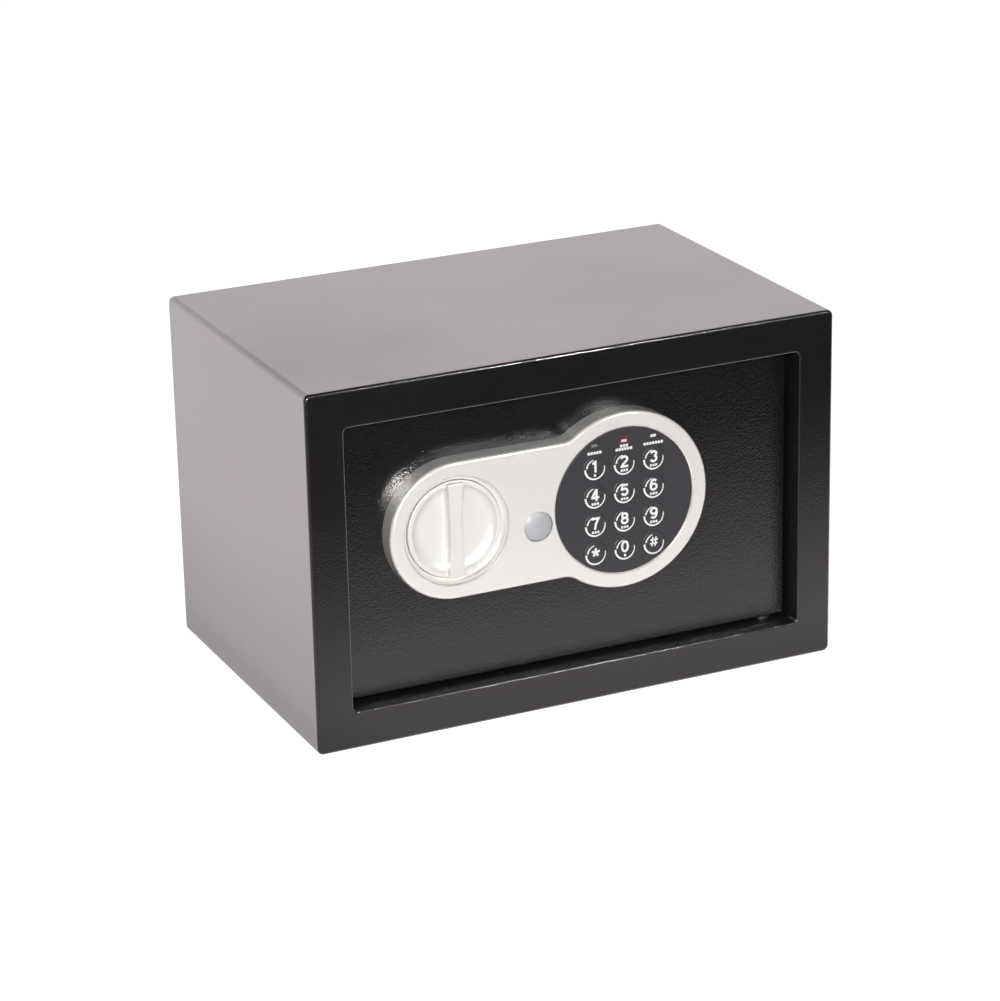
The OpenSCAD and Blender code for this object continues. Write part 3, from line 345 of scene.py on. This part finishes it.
def keypad_film(base):
    """The dark film of the keypad, with a faint red glow painted round the middle light."""
    g = new_material("keypad_film")
    grain = g.noise(1500.0)
    rise, core, edge = 1 * MM, 1.2 * MM, 4.2 * MM
    painted_glow_middle = (MIDDLE_X, KEYPAD_Y, LIGHT_Z + rise)
    away = g.add("ShaderNodeVectorMath", _operation="DISTANCE", i0=g.where(), i1=painted_glow_middle)
    # painted glow: the film turns red round the middle light, which is no lamp
    glow = g.map(away.outputs["Value"], core, edge, 0.75, 0.0)
    colour = g.mix(g.noise(20.0, 4.0, 0.6), shade(base, 0.92), shade(base, 1.08))
    return g.principled(Base__Color=g.mix(glow, colour, (0.125, 0.015, 0.030)),
                        Roughness=g.vary(grain, 0.38, 0.46), Normal=g.bump(grain, 0.05, 0.0001))


KEYPAD_DARK = (0.0365, 0.033, 0.039)
# Both silver parts get painted shade on their walls, to the share given for the walls
panel_silver = silver_plastic("panel_silver", (0.87, 0.848, 0.818), rough=0.24, metallic=0.25,
                              shaded_wall_share=0.6)
knob_silver = silver_plastic("knob_silver", (0.735, 0.72, 0.70), rough=0.40, metallic=0.08,
                             shaded_wall_share=0.85)
key_dark = plastic("key_dark", KEYPAD_DARK, rough=0.42, spread=0.08, grain=1500.0, strength=0.05)
plug_grey = plastic("plug_grey", (0.42, 0.428, 0.445), rough=0.40, spread=0.03, grain=700.0,
                    strength=0.03, Specular__IOR__Level=0.9)
cover_black = plastic("cover_black", (0.022, 0.022, 0.024), rough=0.5, spread=0.12, grain=1300.0,
                      strength=0.25, distance=0.0002)
ribbon_grey = plastic("ribbon_grey", (0.42, 0.42, 0.41), rough=0.5, spread=0.06, grain=500.0,
                      strength=0.05)
button_red = plastic("button_red", (0.45, 0.02, 0.018), rough=0.45, spread=0.1, grain=900.0,
                     strength=0.08)
white_ink = plastic("white_ink", (0.80, 0.795, 0.785), rough=0.5, spread=0.02, grain=1500.0,
                    strength=0.04, distance=0.00005)
zinc_steel = metal("zinc_steel", (0.62, 0.62, 0.64), rough=0.34, stretch=(1, 1, 6), scale=240.0,
                   strength=0.08)
plated_sheet = metal("plated_sheet", (0.55, 0.56, 0.58), rough=0.38, stretch=(8, 1, 1), scale=160.0,
                     strength=0.06)
turned_steel = metal("turned_steel", (0.74, 0.74, 0.75), rough=0.22, stretch=(30, 1, 1), scale=180.0)
turned_brass = metal("turned_brass", (0.78, 0.56, 0.25), rough=0.26, stretch=(1, 30, 1), scale=160.0)

dress(cabinet_paint(), "body_shell", "front_frame", "back_panel")
dress(door_paint(), "door_plate")
dress(panel_silver, "panel_housing")
dress(knob_silver, "knob")
dress(keypad_film(KEYPAD_DARK), "keypad_face")
dress(key_dark, *KEYS)
dress(light_lens(), "indicator_lights")
dress(plug_grey, "key_plug")
dress(zinc_steel, "hinge_brackets", "lock_nut", "guide_studs", "solenoid_frame", "cover_screws",
      "panel_screws", "lock_cam", "battery_contacts", "plunger_spring")
dress(plated_sheet, "bolt_guide", "bolt_carriage")
dress(turned_steel, "hinge_pins", "upper_bolt", "lower_bolt", "knob_shaft", "solenoid_plunger",
      "lock_housing")
dress(turned_brass, "knob_bush", "lock_cylinder")
dress(copper_winding(), "solenoid_coil")
dress(circuit_board(), "keypad_board", "main_board")
dress(ribbon_grey, "ribbon_cable")
dress(cover_black, "battery_box", "inner_cover", "battery_cover", "hinge_washers")
dress(battery_sleeve(), "batteries")
dress(felt(), "floor_mat")
dress(button_red, "reset_button")


# Prints on the keys and the keypad. Their measures are in mm, from the middle of the key or the light
def stroke(points, width, closed=False, end_width=None):
    """A line through the points as quads that share their corners. Its width may change towards its end."""
    # a corner keeps the line's width, but reaches out no further than this allows where it is sharp
    least_cosine = 0.45
    count = len(points)
    left, right = [], []
    for i, (x, z) in enumerate(points):
        directions = []
        if i > 0 or closed:
            before = points[i - 1]
            directions.append(Vector((x - before[0], z - before[1])).normalized())
        if i < count - 1 or closed:
            after = points[(i + 1) % count]
            directions.append(Vector((after[0] - x, after[1] - z)).normalized())
        along = sum(directions, Vector((0, 0)))
        along = along.normalized() if along.length > 1e-6 else directions[0]
        here = width if end_width is None else width + (end_width - width) * i / (count - 1)
        reach = here / 2 / max(least_cosine, along.dot(directions[0]))
        left.append((x - along.y * reach, z + along.x * reach))
        right.append((x + along.y * reach, z - along.x * reach))
    quads = []
    for i in range(count if closed else count - 1):
        j = (i + 1) % count
        quads.append([right[i], right[j], left[j], left[i]])
    return quads


PRINT_T = 0.06 * MM
PROUD = 0.05 * MM


def print_stroke(name, quads, closed, front, body, centre):
    """One stroke of print as one closed piece, with its front face at y = front."""
    bm = bmesh.new()
    back = front + PRINT_T
    corners = {}

    def corner(point, y):
        key = (round(point[0], 5), round(point[1], 5), y)
        if key not in corners:
            corners[key] = bm.verts.new((centre[0] + point[0] * MM, y, centre[1] + point[1] * MM))
        return corners[key]

    for quad in quads:
        near = [corner(point, front) for point in quad]
        far = [corner(point, back) for point in quad]
        bm.faces.new(near)
        bm.faces.new(list(reversed(far)))
        bm.faces.new([near[1], near[0], far[0], far[1]])
        bm.faces.new([near[3], near[2], far[2], far[3]])
    if not closed:
        for start, end in ((quads[0][0], quads[0][3]), (quads[-1][2], quads[-1][1])):
            bm.faces.new([corner(start, front), corner(end, front), corner(end, back), corner(start, back)])
    bmesh.ops.recalc_face_normals(bm, faces=bm.faces)
    mesh = bpy.data.meshes.new(name)
    bm.to_mesh(mesh)
    bm.free()
    mesh.materials.append(white_ink)
    piece = bpy.data.objects.new(name, mesh)
    bpy.context.scene.collection.objects.link(piece)
    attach(piece, body)


def arc(x, z, radius_x, radius_z, start, end, steps=18):
    """Points on an ellipse, from one angle to another, in degrees anticlockwise from the right."""
    angles = [math.radians(start + (end - start) * i / steps) for i in range(steps + 1)]
    return [(x + radius_x * math.cos(angle), z + radius_z * math.sin(angle)) for angle in angles]


# Half a digit's width, and its highest, lowest and middle height, all at the middle of its lines
HALF = 1.75
TOP, LOW = 4.1, -1.45
MID = (TOP + LOW) / 2


def digit(mark):
    """The strokes of one key's mark: lists of points, and whether each closes."""
    half_tall = (TOP - LOW) / 2
    if mark == "1":
        return [([(0.35, TOP + 0.55), (0.35, LOW - 0.6)], False),
                ([(0.2, TOP - 0.1), (-1.35, TOP - 1.3)], False)]
    if mark == "2":
        hook = arc(0, TOP - 1.5, HALF, 1.5, 165, -38, 14) + [(-HALF + 0.35, LOW + 0.75)]
        return [(hook, False), ([(-HALF - 0.5, LOW), (HALF + 0.6, LOW)], False)]
    if mark == "3":
        return [(arc(0, TOP - 1.33, HALF - 0.15, 1.33, 160, -78, 14), False),
                (arc(0, LOW + 1.52, HALF, 1.52, 78, -160, 14), False)]
    if mark == "4":
        return [([(0.8, LOW - 0.6), (0.8, TOP + 0.6)], False),
                ([(0.55, TOP + 0.1), (-HALF - 0.1, LOW + 1.6)], False),
                ([(-HALF - 0.6, LOW + 1.35), (HALF + 0.65, LOW + 1.35)], False)]
    if mark == "5":
        return [([(HALF + 0.3, TOP), (-HALF + 0.45, TOP), (-HALF + 0.1, MID - 0.2)], False),
                (arc(0, LOW + 1.75, HALF, 1.75, 135, -158), False)]
    if mark in "69":
        loop = arc(0, LOW + 1.65, HALF, 1.65, 0, 342, 19)
        back = arc(0.2, MID, HALF + 0.2, half_tall, 48, 200, 16)
        # the nine is the six turned half round
        turn = 1 if mark == "6" else -1
        loop, back = [[(turn * x, MID + turn * (z - MID)) for x, z in line] for line in (loop, back)]
        return [(loop, True), (back, False)]
    if mark == "7":
        return [([(-HALF - 0.5, TOP), (HALF + 0.1, TOP), (0.3, MID - 0.2), (-0.4, LOW - 0.6)], False)]
    if mark == "8":
        return [(arc(0, TOP - 1.3, HALF - 0.25, 1.3, 0, 342, 19), True),
                (arc(0, LOW + 1.5, HALF, 1.5, 0, 342, 19), True)]
    if mark == "0":
        return [(arc(0, MID, HALF, half_tall, 0, 348, 28), True)]
    if mark == "*":
        hub_z, ray = 0.95, 2.5
        angles = [math.radians(degrees) for degrees in (90, 18, -54, -126, 162)]
        return [([(0, hub_z), (ray * math.cos(a), hub_z + ray * math.sin(a))], False) for a in angles]
    # what is left is the hash
    return [([(-1.25, -1.7), (-0.6, 3.7)], False), ([(0.65, -1.7), (1.3, 3.7)], False),
            ([(-2.2, 2.1), (2.4, 2.1)], False), ([(-2.4, 0.0), (2.2, 0.0)], False)]


DIGIT_LINE, HASH_LINE = 1.3, 0.8
# The broken ring round each mark: one heavy line below and up the right side, and one inside it at the
# upper left. Both grow thinner towards their ends
RING = arc(0, 0, 5.75, 5.75, 178, 315, 28) + arc(0, 0, 5.75, 5.75, 320, 371, 12)
INNER_RING = arc(0.1, 0.1, 5.0, 5.0, 172, 102, 14)
RING_LINE, INNER_LINE, RING_END = 1.15, 0.9, 0.5
# Each stroke on a key lies a hair prouder than the last, so that no two faces lie in one plane
LAYER = 0.005 * MM


def key_centre(i):
    """The middle of key number i, across and up, in metres."""
    return MIDDLE_X + (i % 3 - 1) * PITCH_X, TOP_ROW_Z - (i // 3) * PITCH_Z


for i, (key, mark) in enumerate(zip(KEYS, MARKS)):
    line = HASH_LINE if mark == "#" else DIGIT_LINE
    strokes = [(stroke(points, line, closed), closed) for points, closed in digit(mark)]
    strokes.append((stroke(RING, RING_LINE, False, RING_END), False))
    strokes.append((stroke(INNER_RING, INNER_LINE, False, RING_END), False))
    for j, (quads, closed) in enumerate(strokes):
        print_stroke("print_%s_%d" % (key, j), quads, closed, KEY_Y - PROUD - j * LAYER, key, key_centre(i))


def block(x, z, half_length, width):
    """A small plain block of print."""
    return stroke([(x - half_length, z), (x + half_length, z)], width)


# Below each digit: one block under 1 and 0, and three under the others
MARK_Z, MARK_HALF, MARK_WIDTH, MARK_STEP = -3.65, 0.6, 1.35, 1.6
for i, (key, mark) in enumerate(zip(KEYS, MARKS)):
    if mark in WORDS:
        continue
    for j, x in enumerate((0.0,) if mark in "10" else (-MARK_STEP, 0.0, MARK_STEP)):
        print_stroke("mark_%s_%d" % (key, j), block(x, MARK_Z, MARK_HALF, MARK_WIDTH), False,
                     KEY_Y - PROUD, key, key_centre(i))

# Rows of blocks under the lights: which light, height from its middle, and how many blocks
ROWS = ((0, -4.1, 5), (1, -2.75, 3), (1, -4.65, 6), (2, -4.1, 7))
BLOCK_HALF, BLOCK_WIDTH, BLOCK_STEP = 0.675, 1.5, 1.72
for light, z, count in ROWS:
    for j in range(count):
        x = (j - (count - 1) / 2) * BLOCK_STEP
        print_stroke("light_mark_%d_%d_%d" % (light, count, j), block(x, z, BLOCK_HALF, BLOCK_WIDTH), False,
                     KEYPAD_Y - PROUD, "door", (MIDDLE_X + (light - 1) * PITCH_X, LIGHT_Z))


# Floor and light
def mirrored_floor(g):
    """How bright reflections see the floor: white near the object, falling off towards the front."""
    at = g.split(g.add("ShaderNodeNewGeometry").outputs["Position"])
    x, y = at["X"], at["Y"]
    # painted shadow: dimmer close to the left side, which the object shades; painted light: brighter beyond
    # the right side
    left = g.map(x, -0.27, -0.17, 1.0, 0.74)
    below = g.map(x, -0.17, -0.10, 0.0, 0.36)
    right = g.map(x, 0.14, 0.24, 0.0, 0.16)
    across = g.math("ADD", g.math("ADD", left, below), right)
    # and a painted shadow, dimmer, under the front edge
    painted_shadow_under_front = g.math("MULTIPLY", g.map(y, -0.17, -0.115, 0.0, 0.16), g.map(x, -0.175, -0.165, 0.0, 1.0))
    level = g.math("MULTIPLY", g.map(y, -0.41, -0.15, 0.0, 1.0), across)
    return g.math("MULTIPLY", level, g.math("SUBTRACT", 1.0, painted_shadow_under_front))


def floor():
    """White paper that takes the object's shadow."""
    half, drop = 30.0, 0.2 * MM
    corners = [(-half, -half, 0), (half, -half, 0), (half, half, 0), (-half, half, 0)]
    mesh = bpy.data.meshes.new("floor")
    mesh.from_pydata(corners, [], [(0, 1, 2, 3)])
    sheet = bpy.data.objects.new("floor", mesh)
    bpy.context.scene.collection.objects.link(sheet)
    sheet.location.z = -drop
    g = new_material("floor_paper")
    ray = g.add("ShaderNodeLightPath").outputs
    colour = g.mix(g.noise(90.0), shade(WHITE, 0.86), shade(WHITE, 0.88))
    paper = g.add("ShaderNodeBsdfDiffuse", Color=colour).outputs[0]
    glow = g.add("ShaderNodeEmission", Color=WHITE, Strength=0.68).outputs[0]
    seen = g.add("ShaderNodeAddShader", i0=paper, i1=glow).outputs[0]
    mirrored = g.add("ShaderNodeEmission", Color=MIRRORED, Strength=mirrored_floor(g)).outputs[0]
    look = g.add("ShaderNodeMixShader", i0=ray["Is Camera Ray"], i1=paper, i2=seen).outputs[0]
    g.surface(g.add("ShaderNodeMixShader", i0=ray["Is Glossy Ray"], i1=look, i2=mirrored).outputs[0])
    mesh.materials.append(g.owner)


def lamp(name, place, size, power):
    """A square lamp that shines at the middle of the object."""
    light = bpy.data.lights.new(name, "AREA")
    light.size = size
    light.energy = power
    source = bpy.data.objects.new(name, light)
    bpy.context.scene.collection.objects.link(source)
    source.location = place
    towards = Vector((0, 0, MIDDLE_Z)) - Vector(place)
    source.rotation_euler = towards.to_track_quat("-Z", "Y").to_euler()
    return source


def highlight(name, place, size, power):
    """A lamp that gives highlights only, and none on the wide faces that would mirror it to the back."""
    source = lamp(name, place, size, power)
    source.visible_diffuse = False
    left_out = bpy.data.collections.new(name + "_leaves_out")
    for node in ("body_shell", "back_panel"):
        left_out.objects.link(nodes[node])
    for member in left_out.collection_objects:
        member.light_linking.link_state = "EXCLUDE"
    source.light_linking.receiver_collection = left_out


def studio():
    """White all round to the eye. A reflection finds the front and the ceiling dim, as in a studio."""
    world = bpy.data.worlds.new("studio")
    bpy.context.scene.world = world
    g = Graph(world, "ShaderNodeOutputWorld")
    towards = g.split(g.add("ShaderNodeTexCoord").outputs["Generated"])
    not_front = g.map(towards["Y"], -0.50, 0.15, 0.03, 1.0)
    not_ceiling = g.map(towards["Z"], 0.45, 0.70, 1.0, 0.04)
    level = g.math("MULTIPLY", not_front, not_ceiling)
    ray = g.add("ShaderNodeLightPath").outputs
    look = g.add("ShaderNodeBackground", Color=WHITE, Strength=0.4).outputs[0]
    mirrored = g.add("ShaderNodeBackground", Color=MIRRORED, Strength=level).outputs[0]
    plain = g.add("ShaderNodeBackground", Color=WHITE, Strength=1.0).outputs[0]
    for kind, seen in (("Is Glossy Ray", mirrored), ("Is Camera Ray", plain), ("Is Transmission Ray", plain)):
        look = g.add("ShaderNodeMixShader", i0=ray[kind], i1=look, i2=seen).outputs[0]
    g.surface(look)


floor()
# One lamp lights the object, and two smaller ones give its highlights
key_lamp = lamp("key", place=(-0.98, -2.05, 1.02), size=0.32, power=43.0)
key_lamp.visible_glossy = False
highlight("glint", place=(0.72, -1.35, 1.15), size=0.08, power=17.0)
highlight("flash", place=(-0.99, -2.03, 0.96), size=0.16, power=118.0)
studio()
